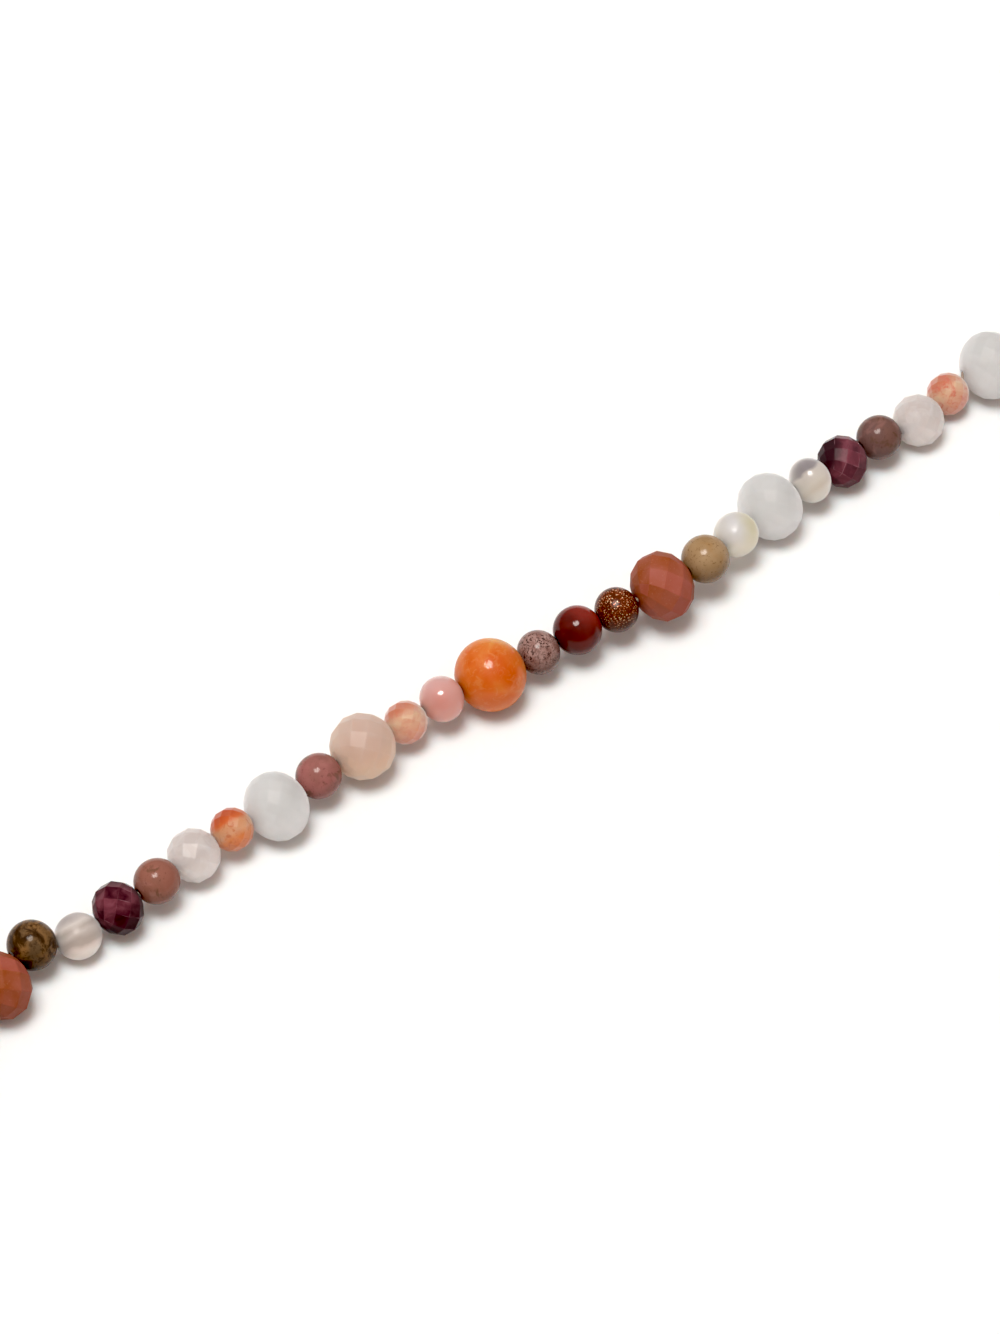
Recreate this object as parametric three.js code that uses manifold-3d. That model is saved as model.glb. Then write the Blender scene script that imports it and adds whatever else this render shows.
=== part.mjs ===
// A gemstone bead bracelet, closed and lying flat: small and larger beads on one fine thread.
// Millimetres, +Z up. The strand lies on the plane z = 0, and its long straight run passes behind.
import * as THREE from "three";
import { mergeVertices } from "three/addons/utils/BufferGeometryUtils.js";
import Module from "manifold-3d";

const wasm = await Module();
wasm.setup();

// ---------------------------------------------------------------- driving dimensions
const THREAD_WIDE = 0.34;
const BORE_WIDE = 0.72; // drilled hole of a larger bead and of the clasp
const BEAD_GAP = 0.03; // play between neighbours on the thread
const OWN_NODE_FROM = 3; // beads this wide or wider are nodes of their own
const STRETCH_MOST = 3; // small beads joined in one stretch, at most
const STUB_DEEP = 0.8; // how far a stretch's thread runs into a larger bead's hole
const BORE_SIDES = 6;
const CLASP = { wide: 3, sides: 12, mouth: 1.6, holeDeep: 1.6, colour: 0xb89a62, rough: 0.25 };
// The clasp's rounded shoulder: distance from its end, and width there.
const CLASP_SHOULDER = [
  { in: 0.52, wide: 2.58 },
  { in: 1.3, wide: 3 },
];
const SETTLING_PASSES = 3; // rounds of placing and turning the beads against each other
const TOUCH_WITHIN = 1e-6; // how closely the place of each bead is found

// Where the strand turns round a corner: the corner itself and the radius of the bend.
const CORNERS = [
  { name: "far right", x: 33.2, y: 24.1, bend: 4.5 },
  { name: "near right", x: 26.4, y: -40.6, bend: 8 },
  { name: "near left", x: -26.4, y: -40.6, bend: 8 },
  { name: "left side", x: -26, y: -27, bend: 14 },
  { name: "far left", x: -23.7, y: -17.2, bend: 2.5 },
];

// Cut of a bead, from one drilled end to the other: "along" in half lengths from the middle,
// "out" in half widths from the axis. Each ring of corners is turned by "twist" of a step
// against the one before, so that with a half step the facets are rhombs and triangles.
const CUTS = {
  smooth: {
    sides: 8,
    twist: 0,
    rings: [
      { along: -1, out: 0.3 },
      { along: -0.62, out: 0.81 },
      { along: 0, out: 1 },
      { along: 0.62, out: 0.81 },
      { along: 1, out: 0.3 },
    ],
  },
  ball: {
    sides: 14,
    twist: 0,
    rings: [
      { along: -1, out: 0.26 },
      { along: -0.82, out: 0.6 },
      { along: -0.45, out: 0.905 },
      { along: 0, out: 1 },
      { along: 0.45, out: 0.905 },
      { along: 0.82, out: 0.6 },
      { along: 1, out: 0.26 },
    ],
  },
  faceted: {
    sides: 8,
    twist: 0.5,
    rings: [
      { along: -1, out: 0.32 },
      { along: -0.72, out: 0.66 },
      { along: -0.37, out: 0.924 },
      { along: 0, out: 1 },
      { along: 0.37, out: 0.924 },
      { along: 0.72, out: 0.66 },
      { along: 1, out: 0.32 },
    ],
  },
  rondelle: {
    sides: 12,
    twist: 0.5,
    rings: [
      { along: -1, out: 0.38 },
      { along: -0.72, out: 0.76 },
      { along: -0.34, out: 0.966 },
      { along: 0, out: 1 },
      { along: 0.34, out: 0.966 },
      { along: 0.72, out: 0.76 },
      { along: 1, out: 0.38 },
    ],
  },
};

const SMALL_SIDES = CUTS.smooth.sides; // the same for every small bead, so that they join

// The kinds of bead: cut, width across the thread, length along it, and finish.
const KINDS = {
  coral_rondelle: { cut: "rondelle", wide: 3.4, long: 2.82, colour: 0xa8523a, rough: 0.35 },
  white_rondelle: { cut: "rondelle", wide: 3.34, long: 2.86, colour: 0xd0cbc6, rough: 0.3 },
  moonstone_bead: { cut: "rondelle", wide: 3.2, long: 3.02, colour: 0xd0b2a0, rough: 0.25 },
  orange_bead: { cut: "ball", wide: 3.58, long: 3.31, colour: 0xd2622a, rough: 0.15 },
  brown_jasper: { cut: "smooth", wide: 2.44, long: 2.25, colour: 0x6b5028, rough: 0.2 },
  chalcedony: { cut: "smooth", wide: 2.24, long: 2.17, colour: 0xd6ccc6, rough: 0.12 },
  garnet: { cut: "faceted", wide: 2.54, long: 2.24, colour: 0x5a2332, rough: 0.08 },
  rhodonite: { cut: "smooth", wide: 2.2, long: 2.15, colour: 0x9b5854, rough: 0.2 },
  rose_quartz: { cut: "faceted", wide: 2.58, long: 2.4, colour: 0xd4cac4, rough: 0.15 },
  carnelian: { cut: "faceted", wide: 2.1, long: 1.9, colour: 0xd6642c, rough: 0.1 },
  peach_quartz: { cut: "faceted", wide: 2.14, long: 1.93, colour: 0xde9670, rough: 0.12 },
  pink_opal: { cut: "smooth", wide: 2.26, long: 2.03, colour: 0xd48e84, rough: 0.18 },
  mauve_stone: { cut: "smooth", wide: 2.18, long: 1.98, colour: 0x967a76, rough: 0.25 },
  dark_carnelian: { cut: "smooth", wide: 2.42, long: 2.27, colour: 0x640e0a, rough: 0.08 },
  goldstone: { cut: "smooth", wide: 2.22, long: 2.04, colour: 0x6e3214, rough: 0.15 },
  tan_jasper: { cut: "smooth", wide: 2.38, long: 2.25, colour: 0xaa885e, rough: 0.2 },
  white_opal: { cut: "smooth", wide: 2.2, long: 2.15, colour: 0xd8d4c4, rough: 0.15 },
  grey_agate: { cut: "smooth", wide: 2.26, long: 1.88, colour: 0xc8bcac, rough: 0.12 },
};

// The long straight run from its left end to its right: each bead's kind, how far it sits
// aside from the straight line (to the far side), and how far it is held up off the surface
// by the taut thread between larger beads.
const LONG_RUN = [
  { kind: "coral_rondelle", aside: -0.65, lift: 0 },
  { kind: "brown_jasper", aside: 0.15, lift: 0.5 },
  { kind: "chalcedony", aside: -0.4, lift: 0.05 },
  { kind: "garnet", aside: -0.4, lift: 0.35 },
  { kind: "rhodonite", aside: -0.35, lift: 0.65 },
  { kind: "rose_quartz", aside: 0, lift: 0.25 },
  { kind: "carnelian", aside: 0.05, lift: 0.65 },
  { kind: "white_rondelle", aside: -0.1, lift: 0 },
  { kind: "rhodonite", aside: 0.1, lift: 0.6 },
  { kind: "moonstone_bead", aside: 0.2, lift: 0.25 },
  { kind: "peach_quartz", aside: 0.3, lift: 0.5 },
  { kind: "pink_opal", aside: 0.2, lift: 0.7 },
  { kind: "orange_bead", aside: 0, lift: 0 },
  { kind: "mauve_stone", aside: -0.2, lift: 0.55 },
  { kind: "dark_carnelian", aside: -0.4, lift: 0.7 },
  { kind: "goldstone", aside: -0.6, lift: 0.9 },
  { kind: "coral_rondelle", aside: -0.9, lift: 0.6 },
  { kind: "tan_jasper", aside: -0.85, lift: 1.1 },
  { kind: "white_opal", aside: -0.4, lift: 0.9 },
  { kind: "white_rondelle", aside: 0.2, lift: 0 },
  { kind: "grey_agate", aside: 0.25, lift: 0.6 },
  { kind: "garnet", aside: 0.4, lift: 0.25 },
  { kind: "rhodonite", aside: 0.45, lift: 0.45 },
  { kind: "rose_quartz", aside: 0.3, lift: 0.05 },
  { kind: "peach_quartz", aside: 0.8, lift: 0.15 },
  { kind: "white_rondelle", aside: 0.7, lift: 0 },
];
const MIDDLE = 12; // place of the orange bead, where the route starts
const REPEAT_FROM = 1; // the rest of the strand repeats the long run's beads from this place on
const RIGHT_REST = { beads: 38, first: 0 }; // from the long run's right end round to the clasp
const LEFT_REST = { beads: 14, first: 19 }; // from its left end round to the clasp

// ---------------------------------------------------------------- the strand's route
// Straight and round pieces, each with its start, heading, curvature and length.
function layRoute(corners) {
  const pieces = [];
  let at = new THREE.Vector2(0, 0);
  corners.forEach((corner, i) => {
    const here = new THREE.Vector2(corner.x, corner.y);
    const next = i + 1 < corners.length ? corners[i + 1] : { x: 0, y: 0 };
    const inwards = here.clone().sub(at).normalize();
    const onwards = new THREE.Vector2(next.x, next.y).sub(here).normalize();
    const turn = Math.atan2(inwards.cross(onwards), inwards.dot(onwards));
    const reach = corner.bend * Math.tan(Math.abs(turn) / 2);
    const start = here.clone().addScaledVector(inwards, -reach);
    const heading = inwards.angle();
    pieces.push({ start: at, heading, curvature: 0, length: at.distanceTo(start) });
    const curvature = Math.sign(turn) / corner.bend;
    pieces.push({ start, heading, curvature, length: corner.bend * Math.abs(turn) });
    at = here.clone().addScaledVector(onwards, reach);
  });
  const home = at.clone().negate();
  pieces.push({ start: at, heading: home.angle(), curvature: 0, length: at.length() });
  return pieces;
}

const ROUTE = layRoute(CORNERS);
const ROUTE_LENGTH = ROUTE.reduce((sum, piece) => sum + piece.length, 0);

// Point on the route at a distance from its start, moved aside to the left of the heading.
function routePoint(distance, aside, height) {
  let rest = THREE.MathUtils.euclideanModulo(distance, ROUTE_LENGTH);
  const piece = ROUTE.find((candidate) => {
    if (rest <= candidate.length) return true;
    rest -= candidate.length;
    return false;
  });
  const { start, heading, curvature } = piece;
  const facing = heading + curvature * rest;
  let x = start.x + rest * Math.cos(facing);
  let y = start.y + rest * Math.sin(facing);
  if (curvature !== 0) {
    x = start.x + (Math.sin(facing) - Math.sin(heading)) / curvature;
    y = start.y - (Math.cos(facing) - Math.cos(heading)) / curvature;
  }
  return new THREE.Vector3(x - aside * Math.sin(facing), y + aside * Math.cos(facing), height);
}

// ---------------------------------------------------------------- beads along the route
function makeBead(row) {
  const kind = KINDS[row.kind];
  const cut = CUTS[kind.cut];
  const large = kind.wide >= OWN_NODE_FROM;
  // A cut bead lies on a facet, a smooth one on its full radius.
  const radius = (kind.wide / 2) * (cut.twist > 0 ? Math.cos(Math.PI / cut.sides) : 1);
  return { ...row, ...kind, ...cut, large, height: radius + row.lift, leans: [0, 0] };
}

// How far a bead reaches along a line that leans from its axis.
function reachOf(bead, lean) {
  const ends = bead.rings.map(({ along, out }) => {
    const inLine = along * (bead.long / 2) * Math.cos(lean);
    return inLine + out * (bead.wide / 2) * Math.sin(lean);
  });
  return Math.max(...ends);
}

// Where the next bead touches the one before it, found by halving.
function nextDistance(bead, next, way) {
  const [, leanOut] = way > 0 ? bead.leans : [...bead.leans].reverse();
  const [leanIn] = way > 0 ? next.leans : [...next.leans].reverse();
  const apart = reachOf(bead, leanOut) + reachOf(next, leanIn) + BEAD_GAP;
  let near = 0;
  let far = 2 * apart;
  while (far - near > TOUCH_WITHIN) {
    const middle = (near + far) / 2;
    const point = routePoint(bead.distance + way * middle, next.aside, next.height);
    if (point.distanceTo(bead.centre) < apart) near = middle;
    else far = middle;
  }
  return bead.distance + way * far;
}

function placeFrom(first, others, way) {
  let last = first;
  for (const bead of others) {
    bead.distance = nextDistance(last, bead, way);
    bead.centre = routePoint(bead.distance, bead.aside, bead.height);
    last = bead;
  }
}

const restRow = (n) => LONG_RUN[REPEAT_FROM + (n % (LONG_RUN.length - REPEAT_FROM))];
const restRun = ({ beads, first }) =>
  Array.from({ length: beads }, (_, i) => makeBead(restRow(first + i)));

const longRun = LONG_RUN.map(makeBead);
const rightRun = [...longRun.slice(MIDDLE + 1), ...restRun(RIGHT_REST)];
const leftRun = [...longRun.slice(0, MIDDLE).reverse(), ...restRun(LEFT_REST)];
const middleBead = longRun[MIDDLE];
const clasp = { clasp: true, large: true, leans: [0, 0] };

// The clasp fills what is left between the two ends of the strand.
function placeClasp(last, first) {
  const line = first.centre.clone().sub(last.centre);
  const taken = reachOf(last, last.leans[1]) + reachOf(first, first.leans[0]);
  clasp.long = line.length() - taken - 2 * BEAD_GAP;
  const share = (reachOf(last, last.leans[1]) + BEAD_GAP + clasp.long / 2) / line.length();
  clasp.centre = last.centre.clone().addScaledVector(line, share).setZ(CLASP.wide / 2);
}

// Each bead's hole points along the thread; larger beads lie level.
function turnBeads(ring) {
  const count = ring.length;
  ring.forEach((bead, i) => {
    const before = ring[(i + count - 1) % count].centre;
    const after = ring[(i + 1) % count].centre;
    const axis = after.clone().sub(before);
    if (bead.large) axis.setZ(0);
    bead.axis = axis.normalize();
    bead.leans = [before, after].map((other) => {
      const link = other.clone().sub(bead.centre).normalize();
      return Math.acos(Math.min(1, Math.abs(link.dot(bead.axis))));
    });
  });
}

const ring = [...leftRun.slice(0, MIDDLE).reverse(), middleBead, ...rightRun, clasp];
ring.push(...leftRun.slice(MIDDLE).reverse());
middleBead.distance = 0;
middleBead.centre = routePoint(0, middleBead.aside, middleBead.height);
for (let pass = 0; pass < SETTLING_PASSES; pass += 1) {
  placeFrom(middleBead, rightRun, 1);
  placeFrom(middleBead, leftRun, -1);
  placeClasp(rightRun.at(-1), leftRun.at(-1));
  turnBeads(ring);
}

// ---------------------------------------------------------------- solids
const toSolid = (geometry) => {
  const bare = geometry.clone();
  bare.deleteAttribute("normal");
  bare.deleteAttribute("uv");
  const closed = mergeVertices(bare);
  const vertProperties = new Float32Array(closed.attributes.position.array);
  const triVerts = new Uint32Array(closed.index.array);
  return new wasm.Manifold(new wasm.Mesh({ numProp: 3, vertProperties, triVerts }));
};

function toGeometry(solid) {
  const mesh = solid.getMesh();
  const geometry = new THREE.BufferGeometry();
  geometry.setAttribute("position", new THREE.BufferAttribute(mesh.vertProperties, 3));
  geometry.setIndex(new THREE.BufferAttribute(mesh.triVerts, 1));
  geometry.computeVertexNormals();
  return geometry;
}

const alongAxis = (bead, share, extra = 0) =>
  bead.centre.clone().addScaledVector(bead.axis, (share * bead.long) / 2 + extra);

// A ring of corners round an axis, counted from straight down and turned by part of a step.
function cornerRing(centre, axis, radius, sides, turn) {
  const down = new THREE.Vector3(0, 0, -1).addScaledVector(axis, axis.z).normalize();
  const side = axis.clone().cross(down);
  return Array.from({ length: sides }, (_, i) => {
    const angle = ((i + turn) / sides) * 2 * Math.PI;
    const point = centre.clone().addScaledVector(down, radius * Math.cos(angle));
    return point.addScaledVector(side, radius * Math.sin(angle));
  });
}

// Rings joined one to the next by triangles, and closed by a flat face at each end.
function closedSkin(rings) {
  const sides = rings[0].length;
  const last = (rings.length - 1) * sides;
  const faces = [];
  for (let i = 0; i < sides; i += 1) {
    const j = (i + 1) % sides;
    for (let low = 0; low < last; low += sides) {
      const high = low + sides;
      faces.push(low + i, low + j, high + i);
      faces.push(low + j, high + j, high + i);
    }
    if (i > 0 && j > 0) {
      faces.push(0, j, i);
      faces.push(last, last + i, last + j);
    }
  }
  const geometry = new THREE.BufferGeometry().setFromPoints(rings.flat());
  geometry.setIndex(faces);
  return geometry;
}

// A smooth bead has a flat side down, and a cut one the rhomb between its middle rings.
const firstTurn = (bead) => (bead.twist > 0 ? 0 : 0.5);

function beadRings(bead, turn) {
  return bead.rings.map(({ along, out }, r) => {
    const centre = alongAxis(bead, along);
    const radius = (out * bead.wide) / 2;
    return cornerRing(centre, bead.axis, radius, bead.sides, turn + r * bead.twist);
  });
}

// A larger bead, drilled from end to end.
function drilledBead(bead) {
  const hole = [-1, 1].map((end) => {
    const centre = alongAxis(bead, end, end);
    return cornerRing(centre, bead.axis, BORE_WIDE / 2, BORE_SIDES, 0);
  });
  return toSolid(closedSkin(beadRings(bead, firstTurn(bead)))).subtract(toSolid(closedSkin(hole)));
}

// The thread's neck between two small beads, in the plane that keeps them apart.
function neck(bead, next, turn) {
  const link = next.centre.clone().sub(bead.centre).normalize();
  const share = reachOf(bead, bead.leans[1]) + BEAD_GAP / 2;
  const middle = alongAxis(bead, 1).add(alongAxis(next, -1)).multiplyScalar(0.5);
  const ahead = share - middle.clone().sub(bead.centre).dot(link);
  return cornerRing(middle.addScaledVector(link, ahead), link, THREAD_WIDE / 2, bead.sides, turn);
}

// The thread's stub in a larger bead's hole: a ring at the mouth and one at the tip.
function stub(large, way, turn) {
  return [0, STUB_DEEP].map((deep) => {
    const centre = alongAxis(large, -way, way * deep);
    return cornerRing(centre, large.axis, THREAD_WIDE / 2, SMALL_SIDES, turn);
  });
}

// A plain barrel with rounded shoulders and a blind hole in each end.
function claspGeometry() {
  const half = clasp.long / 2;
  const quarter = [
    { out: 0, along: half - CLASP.holeDeep },
    { out: BORE_WIDE / 2, along: half - CLASP.holeDeep },
    { out: BORE_WIDE / 2, along: half },
    { out: CLASP.mouth / 2, along: half },
    ...CLASP_SHOULDER.map((step) => ({ out: step.wide / 2, along: half - step.in })),
  ];
  const mirrored = quarter.map(({ out, along }) => ({ out, along: -along }));
  const outline = [...mirrored, ...quarter.reverse()];
  const profile = outline.map(({ out, along }) => new THREE.Vector2(out, along));
  const geometry = new THREE.LatheGeometry(profile, CLASP.sides);
  const upright = new THREE.Vector3(0, 1, 0);
  geometry.applyQuaternion(new THREE.Quaternion().setFromUnitVectors(upright, clasp.axis));
  geometry.translate(...clasp.centre.toArray());
  return geometry;
}

// ---------------------------------------------------------------- nodes
const bracelet = new THREE.Group();

function addNode(name, geometry, colour, roughness, metalness = 0) {
  const material = new THREE.MeshStandardMaterial({ color: colour, roughness, metalness });
  const mesh = new THREE.Mesh(geometry, material);
  mesh.name = name;
  bracelet.add(mesh);
}

// Small beads joined along their thread, from the stub at one end to the stub at the other.
function addStretch(beads, number) {
  const first = ring.indexOf(beads[0]);
  const before = ring[(first + ring.length - 1) % ring.length];
  const after = ring[(first + beads.length) % ring.length];
  const rings = before.large ? stub(before, -1, 0).reverse() : [];
  let turn = 0;
  beads.forEach((bead, i) => {
    if (i > 0) rings.push(neck(beads[i - 1], bead, turn));
    turn = Math.ceil(turn - firstTurn(bead)) + firstTurn(bead);
    rings.push(...beadRings(bead, turn));
    turn += (bead.rings.length - 1) * bead.twist;
  });
  if (after.large) rings.push(...stub(after, 1, turn));
  const name = `small_beads_${String(number).padStart(2, "0")}`;
  addNode(name, closedSkin(rings), beads[0].colour, beads[0].rough);
}

// Small beads between two larger ones, shared out into stretches of nearly equal length.
function shareOut(beads) {
  const parts = Math.ceil(beads.length / STRETCH_MOST);
  const size = Math.ceil(beads.length / parts);
  return Array.from({ length: parts }, (_, i) => beads.slice(i * size, (i + 1) * size));
}

const stretches = [];
const counts = {};
let small = [];
for (const bead of ring) {
  if (!bead.large) {
    small.push(bead);
    continue;
  }
  if (small.length > 0) stretches.push(...shareOut(small));
  small = [];
  if (bead.clasp) {
    addNode("barrel_clasp", claspGeometry(), CLASP.colour, CLASP.rough, 1);
    continue;
  }
  counts[bead.kind] = (counts[bead.kind] ?? 0) + 1;
  addNode(`${bead.kind}_${counts[bead.kind]}`, toGeometry(drilledBead(bead)), bead.colour, bead.rough);
}
if (small.length > 0) stretches.push(...shareOut(small));
stretches.forEach((beads, i) => addStretch(beads, i + 1));

// The origin is under the middle of the whole, on the surface that it lies on.
const box = new THREE.Box3().setFromObject(bracelet);
const centre = box.getCenter(new THREE.Vector3());
bracelet.position.set(-centre.x, -centre.y, -box.min.z);
bracelet.updateMatrixWorld(true);

export default bracelet;
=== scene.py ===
"""A gemstone bead bracelet, closed and lying flat: round and cut beads strung on a plied thread.

The strand is laid in millimetres, in the order and on the route that the solids have, and comes
into the frame at the orange bead. Metres everywhere else.
"""

from math import acos, atan2, copysign, cos, pi, radians, sin, sqrt, tan

import bmesh
import bpy
from mathutils import Matrix, Vector


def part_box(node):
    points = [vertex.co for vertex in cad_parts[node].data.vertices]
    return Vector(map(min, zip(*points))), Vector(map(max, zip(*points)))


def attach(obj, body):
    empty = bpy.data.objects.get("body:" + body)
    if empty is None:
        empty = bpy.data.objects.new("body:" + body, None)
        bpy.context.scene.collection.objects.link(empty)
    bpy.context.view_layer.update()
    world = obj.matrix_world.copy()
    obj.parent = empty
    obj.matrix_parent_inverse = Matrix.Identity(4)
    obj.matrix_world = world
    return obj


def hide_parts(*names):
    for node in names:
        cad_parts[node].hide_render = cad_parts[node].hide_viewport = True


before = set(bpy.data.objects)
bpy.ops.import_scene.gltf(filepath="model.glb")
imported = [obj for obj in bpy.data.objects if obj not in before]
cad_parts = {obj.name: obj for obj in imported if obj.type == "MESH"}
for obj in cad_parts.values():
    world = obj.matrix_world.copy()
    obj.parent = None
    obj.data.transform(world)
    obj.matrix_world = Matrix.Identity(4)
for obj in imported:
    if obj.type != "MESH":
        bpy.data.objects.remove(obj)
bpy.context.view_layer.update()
MM = 0.001

# ------------------------------------------------------------------ driving dimensions, mm
THREAD_WIDE = 0.34
LARGE_BORE = 0.72  # drilled hole of a larger bead and of the clasp
BEAD_GAP = 0.03  # play between neighbours on the thread
LARGE_FROM = 3  # beads this wide or wider are pieces of their own
CLASP_WIDE = 3
CLASP_HOLE_DEEP = 1.6
SETTLING_PASSES = 3  # rounds of placing and turning the beads against each other
TOUCH_WITHIN = 1e-6  # how closely the place of each bead is found

# Where the strand turns round a corner: the corner itself and the radius of the bend.
CORNERS = (
    {"name": "far right", "x": 33.2, "y": 24.1, "bend": 4.5},
    {"name": "near right", "x": 26.4, "y": -40.6, "bend": 8},
    {"name": "near left", "x": -26.4, "y": -40.6, "bend": 8},
    {"name": "left side", "x": -26, "y": -27, "bend": 14},
    {"name": "far left", "x": -23.7, "y": -17.2, "bend": 2.5},
)

# Cut of a bead: sides round it, and its rings of corners from its middle to one end, as (half
# lengths along, half widths out). Each ring is turned by "twist" of a step against the one before.
CUTS = {
    "smooth": {"sides": 8, "twist": 0, "half": ((0, 1), (0.62, 0.81), (1, 0.3))},
    "ball": {"sides": 14, "twist": 0, "half": ((0, 1), (0.45, 0.905), (0.82, 0.6), (1, 0.26))},
    "faceted": {
        "sides": 8, "twist": 0.5, "half": ((0, 1), (0.37, 0.924), (0.72, 0.66), (1, 0.32)),
    },
    "rondelle": {
        "sides": 12, "twist": 0.5, "half": ((0, 1), (0.34, 0.966), (0.72, 0.76), (1, 0.38)),
    },
}

# The kinds of bead: cut, width across the thread, and length along it.
KINDS = {
    "coral_rondelle": ("rondelle", 3.4, 2.82),
    "white_rondelle": ("rondelle", 3.34, 2.86),
    "moonstone_bead": ("rondelle", 3.2, 3.02),
    "orange_bead": ("ball", 3.58, 3.31),
    "brown_jasper": ("smooth", 2.44, 2.25),
    "chalcedony": ("smooth", 2.24, 2.17),
    "garnet": ("faceted", 2.54, 2.24),
    "rhodonite": ("smooth", 2.2, 2.15),
    "rose_quartz": ("faceted", 2.58, 2.4),
    "carnelian": ("faceted", 2.1, 1.9),
    "peach_quartz": ("faceted", 2.14, 1.93),
    "pink_opal": ("smooth", 2.26, 2.03),
    "mauve_stone": ("smooth", 2.18, 1.98),
    "dark_carnelian": ("smooth", 2.42, 2.27),
    "goldstone": ("smooth", 2.22, 2.04),
    "tan_jasper": ("smooth", 2.38, 2.25),
    "white_opal": ("smooth", 2.2, 2.15),
    "grey_agate": ("smooth", 2.26, 1.88),
}
# The slots of those kinds whose slot has a name of its own.
SLOTS = {
    "coral_rondelle": "coral_stone", "white_rondelle": "white_stone",
    "moonstone_bead": "moonstone", "orange_bead": "orange_quartz",
}

# The long straight run from its left end to its right: each bead's kind, how far it sits aside
# from the straight line (to the far side), and how far it is held up off the surface.
LONG_RUN = (
    ("coral_rondelle", -0.65, 0),
    ("brown_jasper", 0.15, 0.5),
    ("chalcedony", -0.4, 0.05),
    ("garnet", -0.4, 0.35),
    ("rhodonite", -0.35, 0.65),
    ("rose_quartz", 0, 0.25),
    ("carnelian", 0.05, 0.65),
    ("white_rondelle", -0.1, 0),
    ("rhodonite", 0.1, 0.6),
    ("moonstone_bead", 0.2, 0.25),
    ("peach_quartz", 0.3, 0.5),
    ("pink_opal", 0.2, 0.7),
    ("orange_bead", 0, 0),
    ("mauve_stone", -0.2, 0.55),
    ("dark_carnelian", -0.4, 0.7),
    ("goldstone", -0.6, 0.9),
    ("coral_rondelle", -0.9, 0.6),
    ("tan_jasper", -0.85, 1.1),
    ("white_opal", -0.4, 0.9),
    ("white_rondelle", 0.2, 0),
    ("grey_agate", 0.25, 0.6),
    ("garnet", 0.4, 0.25),
    ("rhodonite", 0.45, 0.45),
    ("rose_quartz", 0.3, 0.05),
    ("peach_quartz", 0.8, 0.15),
    ("white_rondelle", 0.7, 0),
)
MIDDLE = 12  # place of the orange bead, where the route starts
REPEAT_FROM = 1  # the rest of the strand repeats the long run's beads from this place on
RIGHT_REST = {"beads": 38, "first": 0}  # from the long run's right end round to the clasp
LEFT_REST = {"beads": 14, "first": 19}  # from its left end round to the clasp
STRETCH_MOST = 3  # small beads joined in one solid, at most
BACKWARDS = (23,)  # places of the beads that are strung the other way round


# ------------------------------------------------------------------ the strand's route
def lay_route():
    """Straight and round legs: start, heading, curvature and length of each."""
    legs = []
    at = Vector((0, 0))
    corners = [Vector((corner["x"], corner["y"])) for corner in CORNERS]
    for corner, here, after in zip(CORNERS, corners, corners[1:] + [Vector((0, 0))]):
        inwards = (here - at).normalized()
        onwards = (after - here).normalized()
        turn = atan2(inwards.x * onwards.y - inwards.y * onwards.x, inwards.dot(onwards))
        reach = corner["bend"] * tan(abs(turn) / 2)
        start = here - inwards * reach
        heading = atan2(inwards.y, inwards.x)
        legs.append((at, heading, 0, (start - at).length))
        legs.append((start, heading, copysign(1 / corner["bend"], turn), corner["bend"] * abs(turn)))
        at = here + onwards * reach
    legs.append((at, atan2(-at.y, -at.x), 0, at.length))
    return legs


LEGS = lay_route()
ROUTE_LENGTH = sum(leg[3] for leg in LEGS)


def route_point(distance, aside, height):
    """Point on the route at a distance from its start, moved aside to the left of the heading."""
    rest = distance % ROUTE_LENGTH
    for start, heading, curvature, length in LEGS:
        if rest <= length:
            break
        rest -= length
    facing = heading + curvature * rest
    if curvature:
        x = start.x + (sin(facing) - sin(heading)) / curvature
        y = start.y - (cos(facing) - cos(heading)) / curvature
    else:
        x = start.x + rest * cos(facing)
        y = start.y + rest * sin(facing)
    return Vector((x - aside * sin(facing), y + aside * cos(facing), height))


# ------------------------------------------------------------------ beads along the route
def mirrored(half):
    """Places from a bead's middle to one end, with those of the other end before them."""
    return [(-along, out) for along, out in reversed(half[1:])] + list(half)


class Bead:
    """One bead of the strand, or its clasp: kind, size, place, and the way that its hole points."""

    def __init__(self, kind, aside=0, lift=0, clasp=False):
        self.kind = kind
        self.aside = aside
        self.clasp = clasp
        self.cut, self.wide, self.long = KINDS[kind]
        cut = CUTS[self.cut]
        self.rings = mirrored(cut["half"])
        self.large = clasp or self.wide >= LARGE_FROM
        # A cut bead lies on a facet, a smooth one on its full radius.
        flat = cos(pi / cut["sides"]) if cut["twist"] else 1
        self.height = self.wide / 2 * flat + lift
        self.leans = (0, 0)

    def reach(self, lean):
        """How far it reaches along a line that leans from its hole."""
        half_long, half_wide = self.long / 2, self.wide / 2
        return max(a * half_long * cos(lean) + o * half_wide * sin(lean) for a, o in self.rings)


def next_distance(bead, following, way):
    """Where the following bead touches the one before it, found by halving."""
    lean_out = bead.leans[1] if way > 0 else bead.leans[0]
    lean_in = following.leans[0] if way > 0 else following.leans[1]
    apart = bead.reach(lean_out) + following.reach(lean_in) + BEAD_GAP
    near, far = 0, 2 * apart
    while far - near > TOUCH_WITHIN:
        middle = (near + far) / 2
        point = route_point(bead.distance + way * middle, following.aside, following.height)
        if (point - bead.centre).length < apart:
            near = middle
        else:
            far = middle
    return bead.distance + way * far


def place_from(last, others, way):
    for bead in others:
        bead.distance = next_distance(last, bead, way)
        bead.centre = route_point(bead.distance, bead.aside, bead.height)
        last = bead


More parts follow.
